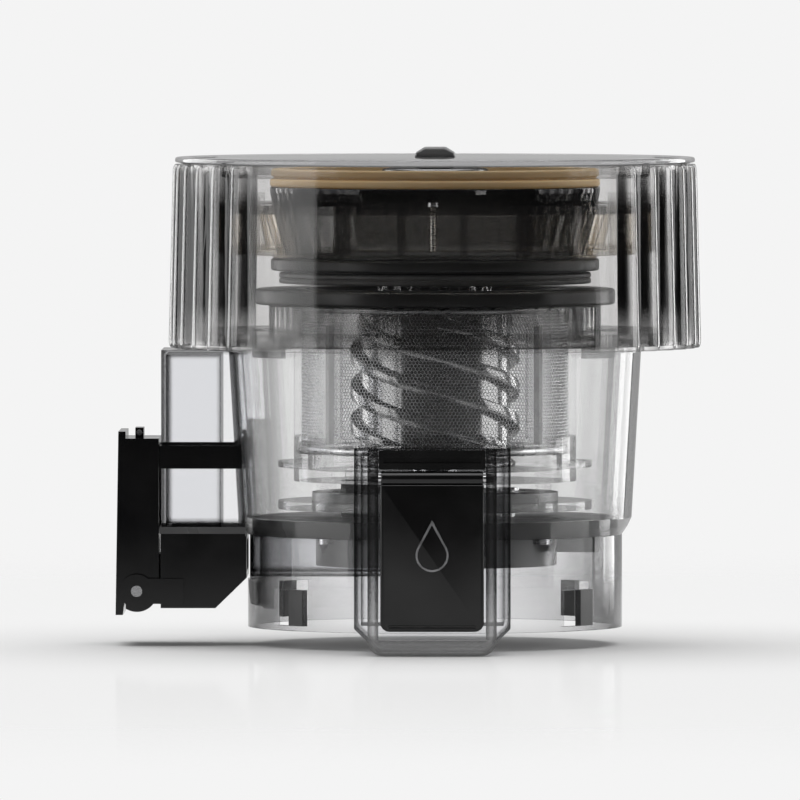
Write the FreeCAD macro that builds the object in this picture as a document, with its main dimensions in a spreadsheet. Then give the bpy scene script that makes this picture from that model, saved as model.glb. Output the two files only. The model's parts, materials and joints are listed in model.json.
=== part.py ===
import FreeCAD, Part
import math
import os
import re

# Juicing chamber of a vertical auger juicer, in millimetres.
# The origin is on the auger's axis, in the plane of the skirt's bottom rim. +Z is up, the juice
# outlet faces -Y and the pulp outlet faces -X.

SIZES = {
    # base skirt and bowl
    "skirt_radius": 66.8,
    "skirt_wall": 2.6,
    "skirt_ledge": 16,
    "skirt_ledge_depth": 0.8,
    "slot_low": 1.8,
    "slot_high": 14.6,
    "slot_width": 16.6,
    "slot_angle": 51,
    "floor_low": 33,
    "floor_high": 39,
    "floor_radius": 65.2,
    "lug_inner": 46,
    "lug_outer": 60,
    "lug_wall": 7,
    "lug_depth": 6,
    "screw_circle": 54,
    "bowl_low_radius": 70.2,
    "bowl_high_radius": 73.7,
    "bowl_foot_radius": 66.8,
    "bowl_wall": 2.5,
    "bowl_rim": 100.6,
    "rim_radius": 74.8,
    "rim_depth": 2.2,
    # drive
    "shaft_radius": 8,
    "shaft_low": 18,
    "shaft_high": 70,
    "socket_flats": 9,
    "socket_depth": 14,
    "fit_gap": 0.05,
    "bush_radius": 11,
    "bush_high": 40.6,
    "seal_high": 41.6,
    "collar_radius": 43.5,
    "collar_wall": 2.5,
    "collar_low": 22,
    "gear_module": 2,
    "auger_teeth": 14,
    "idler_teeth": 12,
    "gear_low": 42,
    "gear_high": 48,
    "gear_backlash": 0.25,
    "idler_pin_radius": 2.5,
    "ring_radius": 44,
    # strainer
    "cage_radius": 50.4,
    "cage_wall": 2.6,
    "cage_low": 62,
    "cage_high": 115,
    "window_width": 33,
    "window_margin": 6,
    "mesh_wall": 0.5,
    "mesh_gap": 0.1,
    "base_low": 52,
    "base_high": 56,
    "foot_high": 62,
    "collar_flange_radius": 64.3,
    "collar_flange_low": 115,
    "collar_flange_high": 120.7,
    "collar_neck_radius": 59.3,
    "collar_neck_low": 100.4,
    "collar_neck_wall": 2,
    "collar_spoke_wall": 7,
    "collar_spoke_depth": 4,
    # wiper
    "wiper_inner": 53.6,
    "wiper_outer": 56,
    "wiper_top": 112,
    "blade_inner": 51,
    "arm_width": 6,
    "blade_width": 1.6,
    "blade_high": 108,
    "lower_ring_low": 57,
    "lower_ring_high": 59,
    "upper_ring_depth": 4,
    # auger
    "screw_radius": 26.8,
    "screw_low": 57,
    "screw_high": 118,
    "flight_radius": 30.2,
    "flight_width": 4.6,
    "flight_lead": 50,
    "flight_starts": 4,
    "flight_low": 62,
    "flight_turns": 0.95,
    "column_radius": 20.7,
    "column_low": 118,
    "column_high": 162,
    "flute_radius": 2,
    "flute_count": 18,
    "wing_low": 134.5,
    "wing_high": 155,
    "wing_reach": 49.5,
    "wing_wall": 3.4,
    "hoop_radius": 24,
    "hoop_x": 34,
    "hoop_y": 14,
    # hopper
    "drum_low": 99.6,
    "drum_high": 165,
    "drum_inner": 89.9,
    "drum_outer_low": 92.4,
    "drum_outer_high": 91.4,
    "reed_centre": 88.2,
    "reed_radius_low": 7,
    "reed_radius_high": 5.4,
    "ring_low": 101,
    "ring_high": 105.7,
    "ring_inner": 66,
    "ring_outer": 89.8,
    "hook_low": 97,
    "hook_inner": 75.4,
    "hook_outer": 77.6,
    "hook_width": 16,
    "funnel_radius": 77.9,
    "funnel_low": 133.2,
    "funnel_high": 147.9,
    "funnel_tip": 131.7,
    "funnel_mouth": 63.2,
    "funnel_throat": 57.9,
    "funnel_wall": 2,
    "flange_high": 151,
    "feed_high_radius": 58.9,
    "feed_low_radius": 53.9,
    "feed_low": 131.4,
    "feed_high": 157,
    "feed_wall": 2.5,
    "feed_seal_high": 163.4,
    "neck_radius": 58.6,
    "neck_low": 127.1,
    "neck_seal_radius": 55.7,
    "neck_seal_low": 122.5,
    "neck_seal_high": 126.4,
    "neck_bore": 50.6,
    "rib_low": 134,
    "rib_high": 154,
    "rib_wall": 1.2,
    "rib_count": 24,
    # lid
    "lid_low": 165.2,
    "lid_high": 167.5,
    "lid_radius": 92.8,
    "plug_low": 160.4,
    "plug_radius": 76.8,
    "plug_wall": 2.3,
    "knob_width": 14.3,
    "knob_depth": 20,
    "knob_high": 171,
    "knob_back": 4,
    # juice outlet
    "housing_half": 27.5,
    "housing_front": -96,
    "housing_low": -5,
    "housing_high": 66.6,
    "housing_wall": 2.4,
    "housing_chamfer": 8,
    "port_half": 15,
    "port_low": 42,
    "port_high": 55,
    "frame_half": 22.7,
    "frame_low": -6.3,
    "frame_high": 66.2,
    "frame_wall": 3.8,
    "frame_bottom_wall": 5.5,
    "frame_front": -101.5,
    "frame_corner": 5.5,
    "cap_half": 18.2,
    "cap_low": 2.2,
    "cap_high": 54.2,
    "cap_front": -102,
    "cap_back": -98.2,
    "cap_pin_y": -99.5,
    "cap_pin_z": 56,
    "cap_pin_radius": 1.5,
    "cap_knuckle_radius": 2.6,
    "bar_low": 59.2,
    "bar_slot_low": 61.5,
    "bar_slot_high": 63.3,
    "bar_slot_half": 17,
    "mouth_half": 15.5,
    "mouth_low": 8,
    "mouth_high": 50,
    "seal_gap": 0.5,
    "lip_height": 2.2,
    "lip_rise": 1.4,
    "drop_width": 11.6,
    "drop_low": 23.3,
    "drop_high": 41.5,
    "drop_line": 0.7,
    "drop_rise": 0.35,
    # pulp outlet
    "chute_left": -97.3,
    "chute_half": 20,
    "chute_wall": 1.6,
    "chute_low": 36,
    "chute_high": 99,
    "band_low": 56.8,
    "band_high": 65,
    "band_rise": 0.5,
    "sill_low": 33.6,
    "elbow_low": 7.1,
    "elbow_bend": -78,
    "elbow_right": -66.9,
    "elbow_right_low": 17.9,
    "elbow_wall": 2.4,
    "channel_low": 18,
    "channel_half": 10,
    "channel_right": -17.5,
    "channel_wall": 1.6,
    "tube_left": -33.5,
    "tube_right": -17.5,
    "tube_half": 7.5,
    "tube_wall": 1.5,
    "lever_left": -110,
    "lever_right": -98.2,
    "lever_half": 19,
    "lever_high": 67.5,
    "lever_wall": 2.2,
    "lever_pin_x": -106,
    "lever_pin_z": 13.2,
    "lever_pin_radius": 2,
    "lever_heel": 7.5,
    "lug_radius": 6,
    "plate_wall": 2.6,
    "plate_low": 4.6,
    "plate_high": 70,
    "ear_left": -106.9,
    "ear_right": -103.9,
    "ear_half": 6,
    "ear_high": 71,
    "latch_x": -105.4,
    "latch_z": 69.3,
    "latch_radius": 1,
    "latch_half": 8,
    "lever_seal_depth": 4,
    "lever_seal_half": 11,
    "lever_seal_low": 14.5,
    "lever_seal_high": 26,
}

doc = FreeCAD.newDocument("juicing_chamber")
sheet = doc.addObject("Spreadsheet::Sheet", "Sizes")
for row, (alias, value) in enumerate(SIZES.items(), start=1):
    sheet.set(f"A{row}", alias)
    sheet.set(f"B{row}", str(value))
    sheet.setAlias(f"B{row}", alias)
doc.recompute()

X_AXIS = FreeCAD.Vector(1, 0, 0)
Y_AXIS = FreeCAD.Vector(0, 1, 0)
Z_AXIS = FreeCAD.Vector(0, 0, 1)
ALONG_X = FreeCAD.Rotation(Y_AXIS, 90)
ALONG_Y = FreeCAD.Rotation(X_AXIS, -90)
nodes = {}


def size(alias):
    """A size's value, read from the sheet."""
    return float(sheet.get(alias))


def bind(item, sizes):
    """Ties properties to expressions over the sheet's aliases."""
    for prop, text in sizes.items():
        words = re.sub(r"[a-z][a-z0-9_]*", lambda w: f"Sizes.{w[0]}" if w[0] in SIZES else w[0], str(text))
        item.setExpression(prop, words)
    return item


def place(item, x, y, z):
    return bind(item, {"Placement.Base.x": x, "Placement.Base.y": y, "Placement.Base.z": z})


def cone(low_radius, high_radius, low, high, x=0, y=0):
    item = doc.addObject("Part::Cone", "cone")
    bind(item, {"Radius1": low_radius, "Radius2": high_radius, "Height": f"({high}) - ({low})"})
    return place(item, x, y, low)


def cylinder(radius, low, high, x=0, y=0):
    item = doc.addObject("Part::Cylinder", "cylinder")
    bind(item, {"Radius": radius, "Height": f"({high}) - ({low})"})
    return place(item, x, y, low)


def rod_along_x(radius, low, high, y, z):
    item = doc.addObject("Part::Cylinder", "rod")
    item.Placement = FreeCAD.Placement(FreeCAD.Vector(), ALONG_X)
    bind(item, {"Radius": radius, "Height": f"({high}) - ({low})"})
    return place(item, low, y, z)


def rod_along_y(radius, low, high, x, z):
    item = doc.addObject("Part::Cylinder", "rod")
    item.Placement = FreeCAD.Placement(FreeCAD.Vector(), ALONG_Y)
    bind(item, {"Radius": radius, "Height": f"({high}) - ({low})"})
    return place(item, x, low, z)


def box(x_low, x_high, y_low, y_high, low, high):
    item = doc.addObject("Part::Box", "box")
    spans = {"Length": (x_low, x_high), "Width": (y_low, y_high), "Height": (low, high)}
    bind(item, {prop: f"({end}) - ({start})" for prop, (start, end) in spans.items()})
    return place(item, x_low, y_low, low)


def spoke(angle, inner, outer, wall, low, high):
    """An upright radial plate at an angle about the axis, counted from +X."""
    item = doc.addObject("Part::Box", "spoke")
    bind(item, {"Length": f"({outer}) - ({inner})", "Width": wall, "Height": f"({high}) - ({low})"})
    item.Placement = FreeCAD.Placement(FreeCAD.Vector(), FreeCAD.Rotation(Z_AXIS, angle))
    x = f"({inner}) * cos({angle}) + ({wall}) / 2 * sin({angle})"
    y = f"({inner}) * sin({angle}) - ({wall}) / 2 * cos({angle})"
    return place(item, x, y, low)


def fuse(*items):
    if len(items) == 1:
        return items[0]
    joined = doc.addObject("Part::MultiFuse", "fuse")
    joined.Shapes = list(items)
    joined.Refine = True
    return joined


def cut(base, *tools):
    result = doc.addObject("Part::Cut", "cut")
    result.Base = base
    result.Tool = fuse(*tools)
    result.Refine = True
    return result


def common(first, second):
    result = doc.addObject("Part::Common", "common")
    result.Base = first
    result.Tool = second
    return result


def group(*items):
    """Separate solids that share one node."""
    result = doc.addObject("Part::Compound", "group")
    result.Links = list(items)
    return result


def ring(outer, inner, low, high):
    return cut(cylinder(outer, low, high), cylinder(inner, low, high))


def coded(shape):
    """A feature whose outline no primitive gives, built from sheet sizes."""
    item = doc.addObject("Part::Feature", "coded")
    item.Shape = shape
    return item


def extruded(points, direction):
    """A prism on a closed outline of straight edges."""
    outline = Part.makePolygon([*points, points[0]])
    return coded(Part.Face(outline).extrude(direction))


def node(name, item):
    item.Label = name
    nodes[name] = item
    return item


def bowl_side():
    """The bowl's outer wall with a small gap, for pieces that meet it."""
    return cone("bowl_low_radius + 0.1", "bowl_high_radius + 0.1", "floor_high", "bowl_rim")


def bowl_foot():
    return cylinder("bowl_low_radius + 0.1", "floor_low - 0.2", "floor_high")


def tube_way(low, high):
    """The pulp tube's passage, which goes on through the pieces above and below it."""
    half = "(tube_half - tube_wall)"
    return box("tube_left + tube_wall", "tube_right - tube_wall", f"-{half}", half, low, high)


# Base skirt, floor and bowl


def skirt_slot_angles():
    """The four bayonet slots stand in pairs beside the front and the back."""
    offset = size("slot_angle")
    return [-90 - offset, -90 + offset, 90 - offset, 90 + offset]


def build_base_skirt():
    lower = ring("skirt_radius", "skirt_radius - skirt_wall", "0", "skirt_ledge")
    upper = ring("skirt_radius", "skirt_radius - skirt_wall - skirt_ledge_depth", "skirt_ledge", "floor_low")
    shell = fuse(lower, upper)
    slots = []
    for angle in skirt_slot_angles():
        inner = "skirt_radius - 10"
        slots.append(spoke(angle, inner, "skirt_radius + 5", "slot_width", "slot_low", "slot_high"))
    half = "(channel_half + 1)"
    gap = box("-skirt_radius - 5", "-50", f"-{half}", half, "channel_low - 1", "floor_low")
    return node("base_skirt", cut(shell, gap, *slots))


def build_bayonet_blocks():
    """A black block fills half of each slot, where the motor base's hook locks."""
    blocks = []
    band = ring("skirt_radius - 0.1", "skirt_radius - skirt_wall + 0.1", "slot_low", "slot_high")
    turn = math.degrees(size("slot_width") / 4 / size("skirt_radius"))
    for angle in skirt_slot_angles():
        width = "slot_width * 0.44"
        wedge = spoke(angle + turn, "skirt_radius - 10", "skirt_radius + 5", width, "slot_low", "slot_high")
        blocks.append(common(band, wedge))
    return node("bayonet_blocks", group(*blocks))


def screw_places():
    return [(f"screw_circle * cos({angle})", f"screw_circle * sin({angle})") for angle in (45, 135, 225, 315)]


def build_bowl_floor():
    disc = cylinder("floor_radius", "floor_low", "floor_high")
    lugs = []
    for angle in (15, 75, 105, 255, 285, 345):
        lugs.append(spoke(angle, "lug_inner", "lug_outer", "lug_wall", "floor_low - lug_depth", "floor_low"))
    holes = [cylinder("bush_radius + fit_gap", "floor_low", "floor_high")]
    holes.append(tube_way("floor_low", "floor_high"))
    for x, y in screw_places():
        holes.append(cylinder("1.6", "floor_low", "floor_high - 1", x, y))
    centre = "gear_module * (auger_teeth + idler_teeth) / 2"
    holes.append(cylinder("idler_pin_radius + 0.02", "floor_high - 4", "floor_high", centre))
    return node("bowl_floor", cut(fuse(disc, *lugs), *holes))


def build_floor_screws():
    screws = []
    for x, y in screw_places():
        head = cylinder("3", "floor_low - 2.4", "floor_low", x, y)
        drive = cylinder("1.2", "floor_low - 2.4", "floor_low - 1.2", x, y)
        shank = cylinder("1.5", "floor_low", "floor_high - 1.2", x, y)
        screws.append(cut(fuse(head, shank), drive))
    return node("floor_screws", group(*screws))


def build_juice_bowl():
    wall = cone("bowl_low_radius", "bowl_high_radius", "floor_high", "bowl_rim")
    corner = cone("bowl_low_radius - 1.4", "bowl_low_radius", "floor_high - 3", "floor_high")
    foot = cone("bowl_foot_radius", "bowl_low_radius - 1.4", "floor_low", "floor_high - 3")
    rim = cylinder("rim_radius", "bowl_rim - rim_depth", "bowl_rim")
    hollow = cone("bowl_low_radius - bowl_wall", "bowl_high_radius - bowl_wall", "floor_high", "bowl_rim")
    seat = cylinder("floor_radius + 0.05", "floor_low", "floor_high")
    port = box("-port_half", "port_half", "-bowl_high_radius - 5", "-55", "port_low", "port_high")
    return node("juice_bowl", cut(fuse(wall, corner, foot, rim), hollow, seat, port))


def build_drive_parts():
    collar = ring("collar_radius", "collar_radius - collar_wall", "collar_low", "floor_low")
    notch = box("-50", "0", "-channel_half - 0.05", "channel_half + 0.05", "collar_low", "floor_low")
    node("drive_collar", cut(collar, notch))
    node("shaft_bush", ring("bush_radius", "shaft_radius + fit_gap", "floor_low", "bush_high"))
    node("shaft_seal", ring("bush_radius", "shaft_radius + 0.3", "bush_high", "seal_high"))
    shaft = cylinder("shaft_radius", "shaft_low", "shaft_high")
    socket = doc.addObject("Part::Prism", "socket")
    socket.Polygon = 6
    bind(socket, {"Circumradius": "socket_flats / sqrt(3)", "Height": "socket_depth"})
    place(socket, 0, 0, "shaft_low")
    node("drive_shaft", cut(shaft, socket))
    centre = "gear_module * (auger_teeth + idler_teeth) / 2"
    stem = cylinder("idler_pin_radius", "floor_high - 4", "gear_high + 1.5", centre)
    head = cylinder("idler_pin_radius + 1.5", "gear_high + 0.4", "gear_high + 1.5", centre)
    node("idler_pin", fuse(stem, head))


# Gears


def tooth_outline(teeth, tip, root, slack):
    """Points round a gear with involute flanks; slack narrows each tooth at the pitch circle."""
    pitch = size("gear_module") * teeth / 2
    pressure = math.radians(25)
    base = pitch * math.cos(pressure)
    roll = math.tan(pressure) - pressure
    flank = []
    steps = 5
    for step in range(steps + 1):
        radius = root + (tip - root) * step / steps
        angle = math.acos(min(1.0, base / radius))
        half = math.pi / 2 / teeth - slack / 2 / pitch + roll - (math.tan(angle) - angle)
        flank.append((radius, half))
    points = []
    for tooth in range(teeth):
        middle = 2 * math.pi * tooth / teeth
        turns = [(radius, middle - half) for radius, half in flank]
        turns += [(radius, middle + half) for radius, half in reversed(flank)]
        points += [(radius * math.cos(turn), radius * math.sin(turn)) for radius, turn in turns]
    return points


def gear_prism(teeth, tip, root, slack, low, high):
    points = [FreeCAD.Vector(x, y, low) for x, y in tooth_outline(teeth, tip, root, slack)]
    return extruded(points, FreeCAD.Vector(0, 0, high - low))


def build_gears():
    """The auger's gear turns the idler, and the idler turns the wiper's ring gear from inside."""
    module = size("gear_module")
    slack = size("gear_backlash")
    auger_teeth = int(size("auger_teeth"))
    idler_teeth = int(size("idler_teeth"))
    ring_teeth = auger_teeth + 2 * idler_teeth
    addendum = 0.75 * module
    dedendum = 1.1 * module
    low = size("gear_low")
    high = size("gear_high")
    pitch = module * auger_teeth / 2
    blank = gear_prism(auger_teeth, pitch + addendum, pitch - dedendum, slack, low, high)
    node("auger_gear", cut(blank, cylinder("shaft_radius + fit_gap", "gear_low", "gear_high")))
    pitch = module * idler_teeth / 2
    blank = gear_prism(idler_teeth, pitch + addendum, pitch - dedendum, slack, low, high)
    centre = module * (auger_teeth + idler_teeth) / 2
    half_tooth = 180 / idler_teeth
    blank.Placement = FreeCAD.Placement(FreeCAD.Vector(centre, 0, 0), FreeCAD.Rotation(Z_AXIS, half_tooth))
    bore = cylinder("idler_pin_radius + fit_gap", "gear_low", "gear_high", str(centre))
    node("idler_gear", cut(blank, bore))
    pitch = module * ring_teeth / 2
    spaces = gear_prism(ring_teeth, pitch + dedendum, pitch - addendum, -slack, low, high)
    half_space = 180 / ring_teeth
    spaces.Placement = FreeCAD.Placement(FreeCAD.Vector(), FreeCAD.Rotation(Z_AXIS, half_space))
    node("wiper_gear", cut(cylinder("ring_radius - 0.05", "gear_low", "gear_high"), spaces))


# Strainer and its wiper


def build_strainer():
    shell = ring("cage_radius", "cage_radius - cage_wall", "cage_low", "cage_high")
    windows = []
    for angle in (22.5, 67.5, 90, 112.5, 157.5, 202.5, 247.5, 270, 292.5, 337.5):
        low = "cage_low + window_margin"
        high = "cage_high - window_margin"
        windows.append(spoke(angle, "cage_radius - 12", "cage_radius + 5", "window_width", low, high))
    node("strainer_cage", cut(shell, *windows))
    outer = "cage_radius - cage_wall - mesh_gap"
    node("strainer_mesh", ring(outer, f"{outer} - mesh_wall", "cage_low", "cage_high"))
    plate = cylinder("cage_radius", "base_low", "base_high")
    upstand = cylinder("cage_radius", "base_high", "foot_high")
    well = cylinder("cage_radius - 5", "base_high", "foot_high")
    hub = cylinder("shaft_radius + 1.5", "base_low", "base_high")
    port = tube_way("base_low", "base_high")
    node("strainer_base", cut(fuse(plate, upstand), well, hub, port))
    flange = cylinder("collar_flange_radius", "collar_flange_low", "collar_flange_high")
    bore = cylinder("cage_radius - cage_wall - 0.8", "collar_flange_low", "collar_flange_high")
    node("strainer_collar", cut(flange, bore))
    neck_inner = "collar_neck_radius - collar_neck_wall"
    node("collar_neck", ring("collar_neck_radius", neck_inner, "collar_neck_low", "collar_flange_low"))
    reach = "bowl_high_radius - bowl_wall - 0.8"
    spokes = []
    for angle in (20, 90, 160):
        low = "collar_neck_low - collar_spoke_depth"
        spokes.append(spoke(angle, neck_inner, reach, "collar_spoke_wall", low, "collar_neck_low"))
    node("collar_spokes", group(*spokes))
    walls = box("tube_left", "tube_right", "-tube_half", "tube_half", "floor_high", "base_low")
    node("pulp_tube", cut(walls, tube_way("floor_high", "base_low")))


def build_wiper():
    """A disc carries the arms up outside the strainer, and a ring ties their tops together."""
    disc = ring("wiper_outer", "ring_radius", "gear_low", "gear_low + 3")
    lower_ring = ring("wiper_outer", "wiper_inner", "lower_ring_low", "lower_ring_high")
    upper_ring = ring("wiper_outer", "wiper_inner", "wiper_top - upper_ring_depth", "wiper_top")
    shell = ring("wiper_outer", "wiper_inner", "gear_low", "wiper_top")
    arms = []
    blades = []
    for angle in (45, 135, 225, 315):
        arm = spoke(angle, "ring_radius", "wiper_outer + 4", "arm_width", "gear_low", "wiper_top")
        arms.append(common(shell, arm))
        tip = "wiper_inner - 0.05"
        blades.append(spoke(angle, "blade_inner", tip, "blade_width", "cage_low + 4", "blade_high"))
    node("wiper_frame", fuse(disc, lower_ring, upper_ring, *arms))
    node("wiper_blades", group(*blades))


# Auger


def build_auger_screw():
    foot = cone("screw_radius + 2", "screw_radius", "screw_low", "screw_low + 4")
    body = cylinder("screw_radius", "screw_low + 4", "screw_high - 4")
    shoulder = cone("screw_radius", "column_radius", "screw_high - 4", "screw_high")
    core = fuse(foot, body, shoulder)
    helix = doc.addObject("Part::Helix", "flight_path")
    helix.LocalCoord = "Left-handed"
    height = "flight_lead * flight_turns"
    bind(helix, {"Pitch": "flight_lead", "Height": height, "Radius": "screw_radius - 1"})
    place(helix, 0, 0, "flight_low")
    half = size("flight_width") / 2
    inner = size("screw_radius") - 1
    outer = size("flight_radius")
    low = size("flight_low")
    land = half * 0.7
    corners = [(inner, -half), (outer, -land), (outer, land), (inner, half)]
    section = Part.makePolygon([FreeCAD.Vector(x, 0, low + z) for x, z in [*corners, corners[0]]])
    profile = coded(section)
    flights = []
    starts = int(size("flight_starts"))
    sweep = doc.addObject("Part::Sweep", "flight")
    sweep.Sections = [profile]
    sweep.Spine = (helix, ["Edge1"])
    sweep.Solid = True
    sweep.Frenet = True
    for start in range(starts):
        turned = doc.addObject("Part::Compound", "flight_turned")
        turned.Links = [sweep]
        turned.Placement = FreeCAD.Placement(FreeCAD.Vector(), FreeCAD.Rotation(Z_AXIS, 360 * start / starts))
        flights.append(turned)
    bore = cylinder("shaft_radius + fit_gap", "screw_low", "shaft_high")
    return node("auger_screw", cut(fuse(core, *flights), bore))


def build_auger_top():
    body = cylinder("column_radius", "column_low", "column_high")
    count = int(size("flute_count"))
    flutes = []
    for index in range(count):
        angle = 360 * index / count
        x = f"(column_radius + flute_radius * 0.25) * cos({angle})"
        y = f"(column_radius + flute_radius * 0.25) * sin({angle})"
        flutes.append(cylinder("flute_radius", "column_low + 4", "column_high", x, y))
    node("auger_column", cut(body, *flutes))
    node("auger_cap", cone("column_radius - 1.5", "column_radius - 4", "column_high", "column_high + 2"))
    reach = cylinder("wing_reach", "wing_low", "wing_high")
    wings = []
    for side in (1, -1):
        x = f"{side} * hoop_x"
        y = f"{side} * hoop_y"
        outer = cylinder("hoop_radius", "wing_low", "wing_high", x, y)
        inner = cylinder("hoop_radius - wing_wall", "wing_low", "wing_high", x, y)
        hoop = cut(outer, inner)
        if side > 0:
            half = box("0", "80", "hoop_y", "80", "wing_low", "wing_high")
        else:
            half = box("-80", "0", "-80", "-hoop_y", "wing_low", "wing_high")
        arm = common(common(hoop, half), reach)
        wings.append(cut(arm, cylinder("column_radius + 0.02", "wing_low", "wing_high")))
    node("auger_wings", group(*wings))


# Hopper and lid


def reed_angles():
    """Twelve reeds stand on each side, and the front and the back are smooth."""
    first = -41.25
    return [first + 7.5 * index + side for side in (0, 180) for index in range(12)]


def build_hopper_drum():
    wall = cone("drum_outer_low", "drum_outer_high", "drum_low", "drum_high")
    reeds = []
    for angle in reed_angles():
        x = f"reed_centre * cos({angle})"
        y = f"reed_centre * sin({angle})"
        reeds.append(cone("reed_radius_low", "reed_radius_high", "drum_low", "drum_high", x, y))
    hollow = cylinder("drum_inner", "drum_low", "drum_high")
    return node("hopper_drum", cut(fuse(wall, *reeds), hollow))


def build_hopper_floor():
    plate = ring("ring_outer", "ring_inner", "ring_low", "ring_high")
    band = ring("hook_outer", "hook_inner", "hook_low", "ring_low")
    hooks = []
    for angle in (40, 140, 220, 320):
        wedge = spoke(angle, "hook_inner - 5", "hook_outer + 5", "hook_width", "hook_low", "ring_low")
        hooks.append(common(band, wedge))
    return node("hopper_floor", fuse(plate, *hooks))


def build_feed_parts():
    outer = ring("funnel_radius", "funnel_radius - funnel_wall", "funnel_low", "funnel_high")
    bottom = ring("funnel_radius", "funnel_throat", "funnel_low", "funnel_low + funnel_wall")
    throat = cone("funnel_throat", "funnel_mouth", "funnel_tip", "funnel_high")
    way = cone("funnel_throat - funnel_wall", "funnel_mouth - funnel_wall", "funnel_tip", "funnel_high")
    node("feed_funnel", cut(fuse(outer, bottom, throat), way))
    lid_ring = ring("funnel_radius", "funnel_mouth - funnel_wall", "funnel_high", "flange_high")
    posts = []
    bores = []
    for angle in (0, 90, 180, 270):
        x = f"(funnel_radius - 4.5) * cos({angle})"
        y = f"(funnel_radius - 4.5) * sin({angle})"
        head = cylinder("1.8", "flange_high", "flange_high + 1.4", x, y)
        posts.append(fuse(head, cylinder("0.9", "funnel_low + funnel_wall", "flange_high", x, y)))
        bores.append(cylinder("1", "funnel_high", "flange_high", x, y))
    node("funnel_flange", cut(lid_ring, *bores))
    node("funnel_screws", group(*posts))
    wall = cone("feed_low_radius", "feed_high_radius", "feed_low", "feed_high")
    hollow = cone("feed_low_radius - feed_wall", "feed_high_radius - feed_wall", "feed_low", "feed_high")
    node("feed_bowl", cut(wall, hollow))
    low_band = cylinder("feed_high_radius", "feed_high", "feed_high + 2.8")
    waist = cylinder("feed_high_radius - 1.2", "feed_high + 2.8", "feed_high + 3.6")
    high_band = cylinder("feed_high_radius - 0.4", "feed_high + 3.6", "feed_seal_high")
    way = cylinder("feed_high_radius - feed_wall - 1", "feed_high", "feed_seal_high")
    node("feed_bowl_seal", cut(fuse(low_band, waist, high_band), way))
    step = ring("neck_radius - 5", "neck_bore", "neck_seal_high", "neck_low")
    node("neck_ring", fuse(ring("neck_radius", "neck_bore", "neck_low", "feed_low"), step))
    node("neck_seal", ring("neck_seal_radius", "neck_bore", "neck_seal_low", "neck_seal_high"))
    count = int(size("rib_count"))
    ribs = []
    for index in range(count):
        angle = 360 / count * (index + 0.5)
        inner = "funnel_radius + 0.2"
        ribs.append(spoke(angle, inner, "drum_inner - 0.1", "rib_wall", "rib_low", "rib_high"))
    node("drum_ribs", group(*ribs))


def build_lid():
    node("hopper_lid", cylinder("lid_radius", "lid_low", "lid_high"))
    node("lid_plug_ring", ring("plug_radius", "plug_radius - plug_wall", "plug_low", "lid_low"))
    half = "knob_width / 2"
    front = "knob_back - knob_depth / 2"
    slab = box(f"-{half}", half, front, "knob_back + knob_depth / 2", "lid_high", "knob_high")
    crown = rod_along_y("knob_width", "-20", "30", "0", "knob_high - knob_width")
    node("lid_knob", common(slab, crown))


# Juice outlet


def build_outlet():
    skirt_side = cylinder("skirt_radius + 0.1", "housing_low", "floor_low")
    chamfer = size("housing_chamfer")
    half = size("housing_half")
    low = size("housing_low")
    high = size("housing_high")
    front = size("housing_front")
    outline = [(-half, high), (-half, low + chamfer), (chamfer - half, low)]
    outline += [(half - chamfer, low), (half, low + chamfer), (half, high)]
    block = extruded([FreeCAD.Vector(x, front, z) for x, z in outline], FreeCAD.Vector(0, -front - 55, 0))
    inner_half = "housing_half - housing_wall"
    inner_front = "housing_front + housing_wall"
    inside = box(f"-({inner_half})", inner_half, inner_front, "-50", "4", "housing_high - housing_wall")
    mouth = box("-mouth_half", "mouth_half", "housing_front", "-90", "mouth_low", "mouth_high")
    node("outlet_housing", cut(block, bowl_side(), bowl_foot(), skirt_side, inside, mouth))
    outer = box("-frame_half", "frame_half", "frame_front", "housing_front", "frame_low", "frame_high")
    doc.recompute()
    rounded = doc.addObject("Part::Fillet", "frame_rounded")
    rounded.Base = outer
    corners = []
    for number, edge in enumerate(outer.Shape.Edges, start=1):
        upright = abs(edge.BoundBox.YLength) > 1
        if upright and edge.BoundBox.ZMax < 0:
            corners.append((number, size("frame_corner"), size("frame_corner")))
    rounded.Edges = corners
    inner = "frame_half - frame_wall"
    way_low = "frame_low + frame_bottom_wall"
    way = box(f"-({inner})", inner, "frame_front", "housing_front", way_low, "frame_high")
    hole_half = "(frame_half - 1)"
    pin_half = "(frame_half - 1.2)"
    hinge = rod_along_x("cap_pin_radius + 0.02", f"-{hole_half}", hole_half, "cap_pin_y", "cap_pin_z")
    node("outlet_frame", cut(rounded, way, hinge))
    node("cap_hinge_pin", rod_along_x("cap_pin_radius", f"-{pin_half}", pin_half, "cap_pin_y", "cap_pin_z"))
    bar_half = f"({inner} - 0.2)"
    bar = box(f"-{bar_half}", bar_half, "frame_front + 0.5", "housing_front", "bar_low", "frame_high - 0.3")
    slot_back = "frame_front + 1.5"
    slot = box("-bar_slot_half", "bar_slot_half", "frame_front", slot_back, "bar_slot_low", "bar_slot_high")
    node("outlet_bar", cut(bar, slot))
    knuckle = rod_along_x("cap_knuckle_radius", "-cap_half", "cap_half", "cap_pin_y", "cap_pin_z")
    panel = box("-cap_half", "cap_half", "cap_front", "cap_back", "cap_low", "cap_high")
    bore = rod_along_x("cap_pin_radius + fit_gap", "-cap_half", "cap_half", "cap_pin_y", "cap_pin_z")
    lip = box("-cap_half", "cap_half", "cap_front - lip_rise", "cap_front", "cap_low", "cap_low + lip_height")
    node("outlet_cap", cut(fuse(knuckle, panel, lip), bore))
    seal_half = "(mouth_half - seal_gap)"
    seal_low = "mouth_low + seal_gap"
    seal_high = "mouth_high - seal_gap"
    node("cap_seal", box(f"-{seal_half}", seal_half, "cap_back", "housing_front - 0.4", seal_low, seal_high))


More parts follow.
